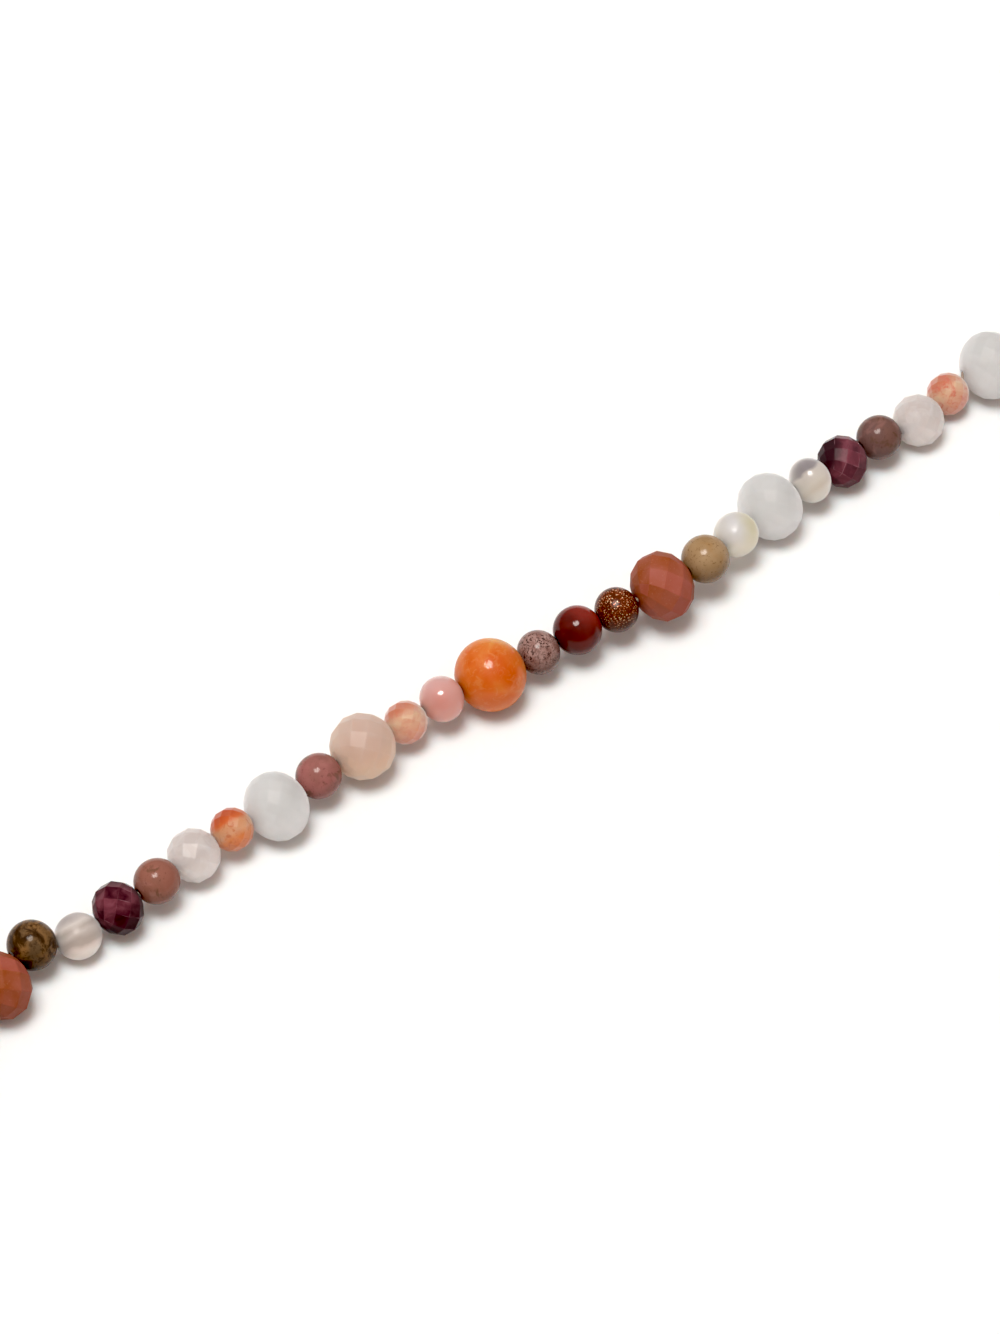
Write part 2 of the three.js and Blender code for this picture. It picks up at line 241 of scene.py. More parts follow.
def place_clasp(clasp, last, first):
    """The clasp fills what is left between the two ends of the strand."""
    line = first.centre - last.centre
    before = last.reach(last.leans[1])
    clasp.long = line.length - before - first.reach(first.leans[0]) - 2 * BEAD_GAP
    clasp.centre = last.centre + line * ((before + BEAD_GAP + clasp.long / 2) / line.length)
    clasp.centre.z = CLASP_WIDE / 2


def turn_beads(ring):
    """Each bead's hole points along the thread; larger beads lie level."""
    for i, bead in enumerate(ring):
        before, after = ring[i - 1].centre, ring[(i + 1) % len(ring)].centre
        axis = after - before
        if bead.large:
            axis.z = 0
        bead.axis = axis.normalized()
        links = [(other - bead.centre).normalized() for other in (before, after)]
        bead.leans = [acos(min(1, abs(link.dot(bead.axis)))) for link in links]


def string_beads():
    """The whole closed strand, in order from the long run's left end; the clasp is among it."""
    repeat = LONG_RUN[REPEAT_FROM:]

    def rest(run):
        return [Bead(*repeat[(run["first"] + i) % len(repeat)]) for i in range(run["beads"])]

    long_run = [Bead(*row) for row in LONG_RUN]
    middle = long_run[MIDDLE]
    right = long_run[MIDDLE + 1:] + rest(RIGHT_REST)
    left = long_run[:MIDDLE][::-1] + rest(LEFT_REST)
    clasp = Bead("orange_bead", clasp=True)
    ring = left[:MIDDLE][::-1] + [middle] + right + [clasp] + left[MIDDLE:][::-1]
    middle.distance = 0
    middle.centre = route_point(0, middle.aside, middle.height)
    for _ in range(SETTLING_PASSES):
        place_from(middle, right, 1)
        place_from(middle, left, -1)
        place_clasp(clasp, right[-1], left[-1])
        turn_beads(ring)
    return ring


RING = string_beads()
CLASP = next(bead for bead in RING if bead.clasp)


def middle_of(node):
    low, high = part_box(node)
    return (low + high) / 2


def solid_names(ring):
    """The solid that each bead is, or is part of, numbered along the strand."""
    counts = {}
    small, stretches = [], []
    for bead in ring + [None]:
        if bead and not bead.large:
            small.append(bead)
            continue
        if small:
            parts = -(-len(small) // STRETCH_MOST)
            size = -(-len(small) // parts)
            stretches += [small[i:i + size] for i in range(0, len(small), size)]
            small = []
        if bead:
            counts[bead.kind] = counts.get(bead.kind, 0) + (not bead.clasp)
            bead.solid = "barrel_clasp" if bead.clasp else f"{bead.kind}_{counts[bead.kind]}"
    for number, stretch in enumerate(stretches, 1):
        for bead in stretch:
            bead.solid = f"small_beads_{number:02d}"


solid_names(RING)
ORANGE = RING[MIDDLE]
SHIFT = middle_of(ORANGE.solid) - ORANGE.centre * MM


def in_frame(point):
    return point * MM + SHIFT


# ------------------------------------------------------------------ helpers
def new_object(name, data):
    made = bpy.data.objects.new(name, data)
    bpy.context.scene.collection.objects.link(made)
    return made


def plug(tree, socket, value):
    if isinstance(value, bpy.types.NodeSocket):
        tree.links.new(value, socket)
    else:
        socket.default_value = value


def fill(tree, node, values):
    for name, value in values.items():
        plug(tree, node.inputs[name], value)


def add(tree, kind, inputs=None, **settings):
    """A new node with its settings, and its inputs given by name or number."""
    made = tree.nodes.new(kind)
    for name, value in settings.items():
        setattr(made, name, value)
    fill(tree, made, inputs or {})
    return made


def calculate(tree, operation, *values):
    """What comes out of one sum on numbers."""
    made = add(tree, "ShaderNodeMath", dict(enumerate(values)), operation=operation)
    return made.outputs["Value"]


def calculate_vector(tree, operation, *values):
    """What comes out of one sum on vectors, a number for a dot product or a length."""
    made = add(tree, "ShaderNodeVectorMath", dict(enumerate(values)), operation=operation)
    return made.outputs["Value" if operation in ("DOT_PRODUCT", "LENGTH") else "Vector"]


# ------------------------------------------------------------------ camera, light and floor
VIEW_ELEVATION = radians(55)
VIEW_DISTANCE = 0.35
NEAREST_SEEN = 0.01
VIEW_ASIDE = Vector((0.46, 0.46, 0)) * MM  # the strand's middle lies a little off the view's centre
LENS = 197.05  # focal length, mm
LAMP_TOWARDS = Vector((-0.13, -0.04, 0.99))
LAMP_DISTANCE = 1.2
LAMP_WIDE = 0.56
LAMP_POWER = 17.9
LAMP_CENTRE = 0.25  # radius of the lamp's dark centre, as a share of its width
LAMP_COLOUR = (1, 0.99, 0.975)
FILL_COLOUR = (1, 0.925, 0.885)
FILL_STRENGTH = 0.56
MIRRORED_ABOVE, MIRRORED_LOW = 0.4, 0.1  # the surroundings as the polish mirrors them
MIRRORED_TOWARDS = (0, 0.35, 1)  # the side where they are bright
DIM_UP_TO, BRIGHT_FROM = 0.2, 0.9  # how far towards that side they are still dim, and fully bright
BLACK_POINT = 0.02  # light that comes out as black
FLOOR_HALF = 3
CARD = {
    "Base Color": (0.72, 0.716, 0.708, 1),
    "Roughness": 0.9,
    "Specular IOR Level": 0.1,
    "Subsurface Weight": 0.5,
    "Subsurface Radius": (2.2, 1.3, 1),  # mm that red, green and blue light spread in it
    "Subsurface Scale": MM,
}


def point_at(thing, target):
    thing.rotation_euler = (target - thing.location).to_track_quat("-Z", "Y").to_euler()


def set_camera():
    target = middle_of(ORANGE.solid) + VIEW_ASIDE
    data = bpy.data.cameras.new("camera")
    data.lens = LENS
    data.clip_start = NEAREST_SEEN
    camera = new_object("camera", data)
    back = Vector((0, -cos(VIEW_ELEVATION), sin(VIEW_ELEVATION)))
    camera.location = target + back * VIEW_DISTANCE
    point_at(camera, target)
    bpy.context.scene.camera = camera


def ring_glow(data):
    """The lamp shines in a ring round its own dark centre."""
    data.use_nodes = True
    tree = data.node_tree
    across = add(tree, "ShaderNodeNewGeometry")
    parts = add(tree, "ShaderNodeSeparateXYZ", {0: across.outputs["Parametric"]})
    # Parametric holds (1 - u - v, u): with u and v from 0 to 1 across the lamp.
    both = calculate(tree, "ADD", parts.outputs["X"], parts.outputs["Y"])
    v = calculate(tree, "SUBTRACT", 0.5, both)
    u = calculate(tree, "SUBTRACT", parts.outputs["Y"], 0.5)
    flat = add(tree, "ShaderNodeCombineXYZ", {0: u, 1: v})
    out = calculate_vector(tree, "LENGTH", flat.outputs[0])
    bright = calculate(tree, "GREATER_THAN", out, LAMP_CENTRE)
    plug(tree, tree.nodes["Emission"].inputs["Strength"], bright)


def hang_lamp():
    data = bpy.data.lights.new("ring lamp", "AREA")
    data.shape = "DISK"
    data.size = LAMP_WIDE
    data.energy = LAMP_POWER
    data.color = LAMP_COLOUR
    lamp = new_object("ring lamp", data)
    lamp.location = LAMP_TOWARDS.normalized() * LAMP_DISTANCE
    lamp.visible_camera = False
    point_at(lamp, Vector())
    ring_glow(data)


def set_surroundings():
    """Even warm light all round; what the polish mirrors is darker low down and in front."""
    world = bpy.data.worlds.new("white surroundings")
    world.use_nodes = True
    tree = world.node_tree
    towards = add(tree, "ShaderNodeTexCoord")
    up = calculate_vector(tree, "DOT_PRODUCT", towards.outputs["Generated"], MIRRORED_TOWARDS)
    mirrored_light = add(tree, "ShaderNodeMapRange", {
        "Value": up, "From Min": DIM_UP_TO, "From Max": BRIGHT_FROM,
        "To Min": MIRRORED_LOW, "To Max": MIRRORED_ABOVE,
    }, interpolation_type="SMOOTHSTEP")
    path = add(tree, "ShaderNodeLightPath")
    strength = add(tree, "ShaderNodeMix", {
        0: path.outputs["Is Glossy Ray"], 2: FILL_STRENGTH, 3: mirrored_light.outputs["Result"],
    })
    shade = tree.nodes["Background"]
    shade.inputs["Color"].default_value = (*FILL_COLOUR, 1)
    plug(tree, shade.inputs["Strength"], strength.outputs[0])
    bpy.context.scene.world = world


def set_light():
    hang_lamp()
    set_surroundings()
    develop = bpy.context.scene.view_settings
    develop.view_transform = "Standard"
    develop.use_curve_mapping = True
    develop.curve_mapping.black_level = (BLACK_POINT,) * 3
    develop.curve_mapping.update()


def lay_floor():
    mesh = bpy.data.meshes.new("floor")
    corners = [(x * FLOOR_HALF, y * FLOOR_HALF, 0) for x, y in ((-1, -1), (1, -1), (1, 1), (-1, 1))]
    mesh.from_pydata(corners, [], [(0, 1, 2, 3)])
    floor = new_object("floor", mesh)
    card = bpy.data.materials.new("white card")
    card.use_nodes = True
    fill(card.node_tree, card.node_tree.nodes["Principled BSDF"], CARD)
    mesh.materials.append(card)


set_camera()
set_light()
lay_floor()


def rgb(red, green, blue):
    """A colour as a paint chart gives it, 0 to 255, turned into the light that it reflects."""
    shares = [part / 255 for part in (red, green, blue)]
    return (*[s / 12.92 if s <= 0.04045 else ((s + 0.055) / 1.055) ** 2.4 for s in shares], 1)


# ------------------------------------------------------------------ stones
FAR_UP = (0, 0.868, 0.488)  # a bead's far upper side, square to the thread
LONG_RUN_BEADS = len(LONG_RUN)
FACETS_MOST = 500  # more than any bead has
STONE_IOR = 1.54
COAT_ROUGH = 0.03
POLISH_TINT = (1, 0.94, 0.9, 1)  # the warm light that the polish throws back
PATTERN_STEP = (7.3, 11.9, 5.7)  # mm between the patterns of one bead and the next
BANDS_FROM = -1.1  # mm from a bead's middle
FIBRES_A_METRE = 9000


class Stone:
    """A polished stone's material, whose pattern lies in each bead's own place, in mm."""

    def __init__(
        self, name, rough, shine=0.5, clear=0.0, milky=0.0, depth=(1, 1, 1), polish=0.0, haze=0.0,
    ):
        self.material = bpy.data.materials.new(name)
        self.material.use_nodes = True
        self.tree = self.material.node_tree
        self.shader = self.tree.nodes["Principled BSDF"]
        fill(self.tree, self.shader, {
            "Roughness": rough, "Specular IOR Level": shine, "Specular Tint": POLISH_TINT,
            "IOR": STONE_IOR, "Coat Weight": polish, "Coat Roughness": COAT_ROUGH,
            "Sheen Weight": haze, "Transmission Weight": clear, "Subsurface Weight": milky,
            "Subsurface Radius": depth, "Subsurface Scale": MM,
        })
        self.inside = self.attribute("bead_place", "Vector")
        number = add(self.tree, "ShaderNodeAttribute", attribute_name="bead_number")
        apart = calculate_vector(self.tree, "MULTIPLY", number.outputs["Vector"], PATTERN_STEP)
        self.grain = calculate_vector(self.tree, "ADD", self.inside, apart)
        self.number = number.outputs["Fac"]

    def set(self, name, value):
        plug(self.tree, self.shader.inputs[name], value)

    def colour(self, value):
        self.set("Base Color", value)

    def made(self, kind, output, inputs=None, **settings):
        """What comes out of a new node of the stone."""
        return add(self.tree, "ShaderNode" + kind, inputs, **settings).outputs[output]

    def attribute(self, name, output="Fac"):
        return self.made("Attribute", output, attribute_name=name)

    def clouds(self, scale, detail=2.0, warp=0.0, rough=0.5):
        return self.made("TexNoise", "Fac", {
            "Vector": self.grain, "Scale": scale, "Detail": detail, "Distortion": warp,
            "Roughness": rough,
        })

    def cells(self, scale, output="Distance"):
        return self.made("TexVoronoi", output, {"Vector": self.grain, "Scale": scale})

    def towards(self, direction):
        """How far a place on the bead lies towards a side of it, in mm."""
        return calculate_vector(self.tree, "DOT_PRODUCT", self.inside, direction)

    def facets(self):
        """From 0 to 1, another for each facet of each bead."""
        seed = self.plus(self.attribute("facet"), self.times(self.number, FACETS_MOST))
        whole = calculate(self.tree, "ROUND", seed)
        return self.made("TexWhiteNoise", "Value", {"W": whole}, noise_dimensions="1D")

    def edges(self):
        """1 on the polished edges between facets, 0 on the facets."""
        return self.attribute("edge")

    def tone(self):
        """From 0 to 1 over the beads of the long run, and again over those that repeat them."""
        place = calculate(self.tree, "WRAP", self.number, LONG_RUN_BEADS, 0)
        return self.times(place, 1 / LONG_RUN_BEADS)

    def ramp(self, share, *stops):
        """Colours from (place, colour) stops."""
        made = add(self.tree, "ShaderNodeValToRGB", {"Fac": share})
        elements = made.color_ramp.elements
        while len(elements) < len(stops):
            elements.new(0.5)
        for element, (place, colour) in zip(elements, stops):
            element.position = place
            element.color = colour
        return made.outputs["Color"]

    def step(self, value, low, high, to_low=0.0, to_high=1.0):
        return self.made("MapRange", "Result", {
            "Value": value, "From Min": low, "From Max": high, "To Min": to_low,
            "To Max": to_high,
        }, interpolation_type="SMOOTHSTEP")

    def mix(self, share, first, second):
        return self.made("Mix", 2, {0: share, 6: first, 7: second}, data_type="RGBA")

    def times(self, first, second):
        return calculate(self.tree, "MULTIPLY", first, second)

    def plus(self, first, second):
        return calculate(self.tree, "ADD", first, second)

    def bands(self, direction, scale, end=1.5):
        """From 0 to 1 across a bead towards a side of it, wavy as its layers are."""
        wavy = self.plus(self.towards(direction), self.times(self.clouds(scale, 3), 0.5))
        return self.step(wavy, BANDS_FROM, end)

    def over(self, ground, colour, share, value, low, high):
        """Another colour over a ground, up to a share of it as a value goes from low to high."""
        return self.mix(self.times(self.step(value, low, high), share), ground, colour)

    def painted_shading(self, colour, low, share, crown=1.1):
        """Painted light and shade: lets a colour go over to another from a bead's crown down to its
        middle, so the lower half comes out lighter on some stones and darker on others.
        """
        down = self.step(self.towards((0, 0, 1)), 0, crown, 1, 0)
        return self.mix(self.times(down, share), colour, low)

    def relief(self, height, deep):
        """Fine unevenness of the polish, so deep in mm."""
        self.set("Normal", self.made("Bump", "Normal", {"Height": height, "Distance": deep * MM}))


def coral_stone():
    stone = Stone("coral pink stone, satin", 0.55, shine=0.15, milky=0.15, depth=(0.5, 0.2, 0.12))
    veins = stone.ramp(
        stone.clouds(0.7, 3, 0.4), (0.35, rgb(130, 66, 36)), (0.65, rgb(141, 79, 63)),
    )
    fine = stone.over(veins, rgb(154, 103, 84), 0.3, stone.clouds(9, 2), 0.6, 0.72)
    rosy = stone.times(stone.step(stone.facets(), 0.4, 1), 0.36)
    stone.colour(stone.mix(rosy, fine, rgb(157, 83, 78)))
    stone.relief(stone.clouds(6, 3), 0.008)
    return stone.material


def white_stone():
    stone = Stone(
        "milk white stone", 0.55, 0.15, clear=0.4, milky=1.0, depth=(4, 4, 4), haze=0.45,
    )
    body = stone.ramp(
        stone.clouds(0.6, 2), (0.3, rgb(189, 188, 186)), (0.7, rgb(199, 199, 198)),
    )
    # Painted light: the lower half lighter.
    stone.colour(stone.painted_shading(body, rgb(233, 232, 231), 1.0, 1.7))
    stone.relief(stone.clouds(5, 2), 0.004)
    return stone.material


def moonstone():
    stone = Stone("peach moonstone", 0.4, 0.04, clear=0.35, milky=1.0, depth=(3, 2.6, 2.3), haze=0.15)
    body = stone.ramp(
        stone.clouds(0.45, 2, 0.5), (0.3, rgb(187, 158, 144)), (0.7, rgb(194, 174, 164)),
    )
    # Painted light: the lower half lighter.
    stone.colour(stone.painted_shading(body, rgb(223, 190, 168), 1.0, 1.6))
    stone.relief(stone.clouds(5, 2), 0.003)
    return stone.material


def orange_quartz():
    stone = Stone(
        "cloudy orange stone", 0.5, 0.04, clear=0.3, milky=1.0, depth=(1.8, 0.9, 0.4), polish=0.4,
    )
    swirl = stone.ramp(
        stone.clouds(0.5, 4, 1.2), (0.3, rgb(198, 91, 25)), (0.55, rgb(206, 111, 49)),
        (0.75, rgb(213, 150, 80)),
    )
    body = stone.over(swirl, rgb(218, 165, 99), 0.35, stone.clouds(2.6, 4, 1.5), 0.5, 0.7)
    swirled = stone.over(body, rgb(217, 161, 88), 0.5, stone.towards((0.5, 0.6, 0.3)), 0.5, 1.7)
    # Painted light: the lower half a deeper orange, for light coming through the stone.
    stone.colour(stone.painted_shading(swirled, rgb(215, 110, 45), 0.4, 1.8))
    return stone.material


def brown_jasper():
    stone = Stone("brown jasper", 0.14, shine=0.1)
    ground = stone.ramp(
        stone.clouds(1.0, 3, 0.4), (0.35, rgb(88, 70, 52)), (0.5, rgb(104, 79, 54)),
        (0.65, rgb(120, 88, 56)),
    )
    mottled = stone.over(ground, rgb(40, 28, 24), 0.85, stone.clouds(1.3, 5, 0.8, 0.62), 0.45, 0.6)
    body = stone.over(mottled, rgb(44, 29, 23), 0.55, stone.clouds(5, 4, 0.5, 0.65), 0.5, 0.66)
    # Painted shade: the lower half darker.
    stone.colour(stone.painted_shading(body, rgb(44, 29, 19), 0.4))
    return stone.material


def chalcedony():
    stone = Stone("clear grey chalcedony", 0.35, 0.09, clear=0.35, milky=1.0, haze=0.4)
    # Wavy colour bands across the bead, the stone's own layers; the palest bands on its near lower
    # side are painted light.
    stone.colour(stone.ramp(
        stone.bands(FAR_UP, 1.1), (0.1, rgb(250, 234, 225)), (0.2, rgb(228, 212, 203)),
        (0.3, rgb(188, 175, 166)), (0.42, rgb(180, 168, 160)), (0.58, rgb(200, 190, 183)),
        (0.7, rgb(182, 171, 163)), (0.84, rgb(213, 205, 199)), (0.97, rgb(163, 153, 151)),
    ))
    return stone.material


def garnet():
    stone = Stone("rhodolite garnet", 0.14, shine=0.03, milky=0.2, depth=(0.4, 0.2, 0.2), haze=0.06)
    facets = stone.ramp(
        stone.facets(), (0.15, rgb(42, 22, 27)), (0.5, rgb(80, 39, 46)), (0.9, rgb(120, 68, 77)),
    )
    inside = stone.ramp(
        stone.clouds(1.3, 4, 0.8), (0.36, rgb(38, 19, 24)), (0.5, rgb(86, 42, 50)),
        (0.64, rgb(116, 66, 75)),
    )
    body = stone.mix(0.6, facets, inside)
    # Painted light and shade: lighter towards the crown, darker on the flanks.
    crown = stone.step(stone.towards((-0.3, -0.4, 0.87)), 0.15, 1.0)
    shaded = stone.mix(crown, stone.mix(0.6, body, rgb(36, 19, 24)), body)
    # Some have painted shade on the near lower side; others are paler, and dark at one end of the
    # hole.
    near = stone.step(stone.towards(FAR_UP), 0.4, -0.9)
    painted_shade_near = stone.times(near, stone.step(stone.tone(), 0.2, 0.7, 0.75, 0.0))
    paler = stone.times(stone.step(stone.tone(), 0.3, 0.8), 0.2)
    sided = stone.mix(paler, stone.mix(painted_shade_near, shaded, rgb(36, 17, 21)), rgb(140, 88, 98))
    end = stone.step(stone.towards((-0.72, 0.55, 0.42)), 0.45, 1.0)
    dark_end = stone.times(end, stone.step(stone.tone(), 0.3, 0.8, 0.0, 0.95))
    toned = stone.mix(dark_end, sided, rgb(48, 32, 36))
    # Painted glints: some polished edges between the facets lighter pink.
    painted_edge_glint = stone.times(stone.edges(), stone.step(stone.clouds(1.2), 0.48, 0.68, 0, 0.4))
    stone.colour(stone.mix(painted_edge_glint, toned, rgb(151, 110, 117)))
    return stone.material


def rhodonite():
    stone = Stone("dusty rose rhodonite", 0.14, shine=0.16)
    tone = stone.ramp(
        stone.tone(), (0.15, rgb(129, 85, 73)), (0.31, rgb(140, 90, 86)),
        (0.6, rgb(131, 86, 81)), (0.85, rgb(98, 74, 70)),
    )
    ground = stone.over(tone, rgb(109, 78, 67), 0.45, stone.clouds(0.8, 3, 0.3), 0.4, 0.65)
    rosy = stone.over(ground, rgb(160, 112, 106), 0.2, stone.clouds(1.5, 3, 0.5), 0.52, 0.68)
    patched = stone.over(rosy, rgb(85, 64, 48), 0.6, stone.clouds(1.1, 4, 0.6, 0.6), 0.55, 0.66)
    stone.colour(stone.over(patched, rgb(75, 50, 45), 0.4, stone.clouds(9, 3, 0.5, 0.6), 0.58, 0.7))
    return stone.material


def rose_quartz():
    stone = Stone("pale rose quartz", 0.36, 0.15, clear=0.4, milky=1.0, depth=(3, 2.8, 2.6), haze=0.3)
    ground = stone.ramp(
        stone.clouds(0.6, 3, 0.6), (0.3, rgb(191, 179, 175)), (0.7, rgb(198, 191, 188)),
    )
    body = stone.over(ground, rgb(209, 203, 200), 0.5, stone.clouds(1.4, 4, 1.2), 0.46, 0.6)
    # Painted light: the lower half lighter.
    stone.colour(stone.painted_shading(body, rgb(237, 224, 219), 1.0, 1.25))
    return stone.material


def carnelian():
    stone = Stone("orange carnelian", 0.3, 0.14, clear=0.35, milky=0.9, depth=(1.4, 1, 0.7), haze=0.3)
    body = stone.ramp(
        stone.bands(FAR_UP, 1.1), (0.1, rgb(208, 121, 73)), (0.3, rgb(210, 131, 80)),
        (0.46, rgb(210, 164, 131)), (0.66, rgb(202, 149, 112)), (0.78, rgb(198, 101, 52)),
        (0.95, rgb(183, 79, 37)),
    )
    stone.colour(stone.over(body, rgb(181, 86, 43), 0.6, stone.clouds(2.6, 4, 0.8, 0.6), 0.5, 0.66))
    return stone.material


def peach_quartz():
    stone = Stone("peach quartz", 0.3, 0.14, clear=0.35, milky=0.9, depth=(1.6, 1.3, 1), haze=0.6)
    # Bands across the bead, paler in the middle and deeper orange at the near and far rims: partly
    # the stone's own colour, partly painted light through the stone.
    ground = stone.ramp(
        stone.bands(FAR_UP, 1.0), (0.05, rgb(204, 127, 99)), (0.3, rgb(211, 160, 134)),
        (0.62, rgb(212, 180, 153)), (0.88, rgb(193, 122, 95)),
    )
    spots = stone.step(stone.clouds(2.2, 4, 0.8, 0.65), 0.46, 0.64)
    streaks = stone.times(spots, stone.step(stone.tone(), 0.3, 0.8, 0.25, 0.75))
    stone.colour(stone.mix(streaks, ground, rgb(197, 95, 78)))
    return stone.material


def pink_opal():
    stone = Stone(
        "pink opal", 0.4, 0.07, clear=0.2, milky=1.0, depth=(2.4, 1.8, 1.5), polish=0.9, haze=0.15,
    )
    body = stone.ramp(
        stone.clouds(0.6, 2), (0.3, rgb(188, 130, 121)), (0.7, rgb(191, 147, 141)),
    )
    # Painted sheen: paler and cooler towards the far upper side.
    cool = stone.over(body, rgb(188, 158, 158), 0.5, stone.towards(FAR_UP), -0.2, 1.1)
    # Painted light: the lower half a lighter, stronger pink.
    stone.colour(stone.painted_shading(cool, rgb(207, 144, 132), 0.7))
    return stone.material


def mauve_stone():
    stone = Stone("mauve speckled stone", 0.16, shine=0.18)
    ground = stone.ramp(
        stone.clouds(2.5, 3), (0.35, rgb(126, 93, 86)), (0.65, rgb(154, 125, 118)),
    )
    specks = stone.step(stone.clouds(9, 3, 0.4, 0.65), 0.51, 0.57)
    crowded = stone.step(stone.clouds(1.1, 2), 0.38, 0.6, 0.35, 1)
    dark = stone.mix(stone.times(specks, crowded), ground, rgb(45, 27, 25))
    # Pale dots painted as glints: painted highlights.
    bright = stone.over(dark, rgb(186, 158, 149), 0.5, stone.cells(11), 0.2, 0.12)
    # Painted shade: the lower half darker.
    stone.colour(stone.painted_shading(bright, rgb(80, 52, 45), 0.5))
    stone.relief(stone.clouds(12, 3), 0.005)
    return stone.material


def dark_carnelian():
    stone = Stone("deep red carnelian", 0.11, 0.2, milky=0.3, depth=(0.6, 0.08, 0.05))
    body = stone.ramp(
        stone.clouds(0.7, 2, 0.5), (0.3, rgb(62, 25, 24)), (0.7, rgb(92, 37, 34)),
    )
    # Painted light: a brighter red towards one end and the far upper side, for light shining through
    # the stone.
    stone.colour(stone.over(body, rgb(136, 52, 44), 0.7, stone.towards((0.85, 0.4, 0.35)), 0.0, 1.1))
    return stone.material


def goldstone():
    stone = Stone("goldstone with copper flecks", 0.26, shine=0.22)
    parts = add(stone.tree, "ShaderNodeSeparateColor", {0: stone.cells(15, "Color")})
    chosen = stone.step(parts.outputs["Red"], 0.42, 0.62)
    core = stone.step(stone.cells(15), 0.56, 0.34)
    coarse = stone.times(chosen, core)
    grains = stone.step(stone.cells(27), 0.36, 0.2)
    dust = stone.times(grains, stone.step(stone.clouds(6), 0.45, 0.6))
    fleck = stone.plus(coarse, stone.times(dust, 0.4))
    ground = stone.ramp(
        stone.clouds(1.2, 3), (0.3, rgb(60, 26, 12)), (0.7, rgb(86, 38, 19)),
    )
    copper = stone.ramp(
        parts.outputs["Green"], (0.2, rgb(135, 67, 43)), (0.68, rgb(206, 118, 84)),
        (0.88, rgb(255, 214, 170)),
    )
    body = stone.mix(fleck, ground, copper)
    # Painted shade: the lower half darker.
    stone.colour(stone.painted_shading(body, rgb(61, 24, 10), 0.75))
    stone.set("Metallic", stone.times(coarse, 0.35))
    return stone.material


def tan_jasper():
    stone = Stone("tan jasper", 0.17, shine=0.21)
    ground = stone.ramp(
        stone.clouds(0.7, 3, 0.4), (0.3, rgb(133, 105, 73)), (0.7, rgb(154, 128, 98)),
    )
    fine = stone.over(ground, rgb(94, 61, 34), 0.6, stone.clouds(7, 3, 0.5, 0.6), 0.58, 0.66)
    body = stone.over(fine, rgb(143, 105, 63), 0.3, stone.clouds(1.6, 3), 0.55, 0.7)
    # Painted shade: the lower half darker.
    stone.colour(stone.painted_shading(body, rgb(95, 70, 47), 0.5))
    return stone.material


def white_opal():
    stone = Stone(
        "milky white opal", 0.4, 0.1, clear=0.4, milky=1.0, depth=(2, 2, 1.7), polish=0.3,
        haze=0.5,
    )
    cool = stone.ramp(
        stone.clouds(0.7, 2, 0.4), (0.35, rgb(201, 198, 197)), (0.65, rgb(210, 208, 211)),
    )
    body = stone.over(cool, rgb(196, 188, 146), 0.9, stone.towards((0.8, -0.5, 0.1)), -0.2, 0.9)
    # Painted light: the lower half lighter and warmer.
    stone.colour(stone.painted_shading(body, rgb(229, 218, 197), 0.7))
    return stone.material


def grey_agate():
    stone = Stone(
        "grey and cream agate", 0.4, 0.08, clear=0.25, milky=1.0, depth=(1, 1, 0.9), polish=0.6,
        haze=0.7,
    )
    body = stone.ramp(
        stone.bands((-0.14, 0.86, 0.48), 0.9, 1.4), (0.05, rgb(212, 207, 198)),
        (0.3, rgb(190, 177, 163)), (0.5, rgb(198, 190, 180)), (0.78, rgb(190, 182, 175)),
        (0.85, rgb(134, 127, 129)),
    )
    # Painted light: the lower half lighter.
    stone.colour(stone.painted_shading(body, rgb(213, 206, 194), 0.5))
    return stone.material


def spun_thread():
    stone = Stone("grey-beige beading thread", 0.75, shine=0.2)
    place = stone.made("TexCoord", "Object")
    fibres = stone.made(
        "TexNoise", "Fac", {"Vector": place, "Scale": FIBRES_A_METRE, "Detail": 3.0},
    )
    stone.colour(stone.ramp(
        fibres, (0.35, rgb(138, 122, 110)), (0.65, rgb(168, 152, 138)),
    ))
    stone.relief(fibres, 0.01)
    return stone.material


def gold_metal():
    stone = Stone("polished pale gold", 0.24)
    round_lines = calculate_vector(stone.tree, "MULTIPLY", stone.inside, (24, 1, 1))
    turned = stone.made("TexNoise", "Fac", {"Vector": round_lines, "Scale": 1.0, "Detail": 3.0})
    worn = stone.ramp(stone.clouds(1.5, 4), (0.35, rgb(221, 190, 136)), (0.65, rgb(232, 206, 158)))
    lined = stone.times(turned, 0.3)
    stone.colour(stone.mix(lined, worn, rgb(204, 166, 106)))
    stone.set("Roughness", stone.step(stone.clouds(3, 4), 0.3, 0.7, 0.21, 0.28))
    stone.set("Specular Tint", (1, 1, 1, 1))
    stone.set("Metallic", 1.0)
    stone.relief(turned, 0.001)
    return stone.material


STONES = (
    coral_stone, white_stone, moonstone, orange_quartz, brown_jasper, chalcedony, garnet,
    rhodonite, rose_quartz, carnelian, peach_quartz, pink_opal, mauve_stone, dark_carnelian,
    goldstone, tan_jasper, white_opal, grey_agate,
)
MATERIALS = {stone.__name__: stone() for stone in STONES}
MATERIALS.update(thread=spun_thread(), clasp_metal=gold_metal())


# ------------------------------------------------------------------ forms, mm
SAME_WAY = 0.01  # rings turned apart by less than this are joined by four-cornered faces


def corner_ring(along, out, sides, turn):
    """Corners round the X axis, counted from straight down."""
    angles = [(i + turn) / sides * 2 * pi for i in range(sides)]
    return [Vector((along, out * sin(angle), -out * cos(angle))) for angle in angles]


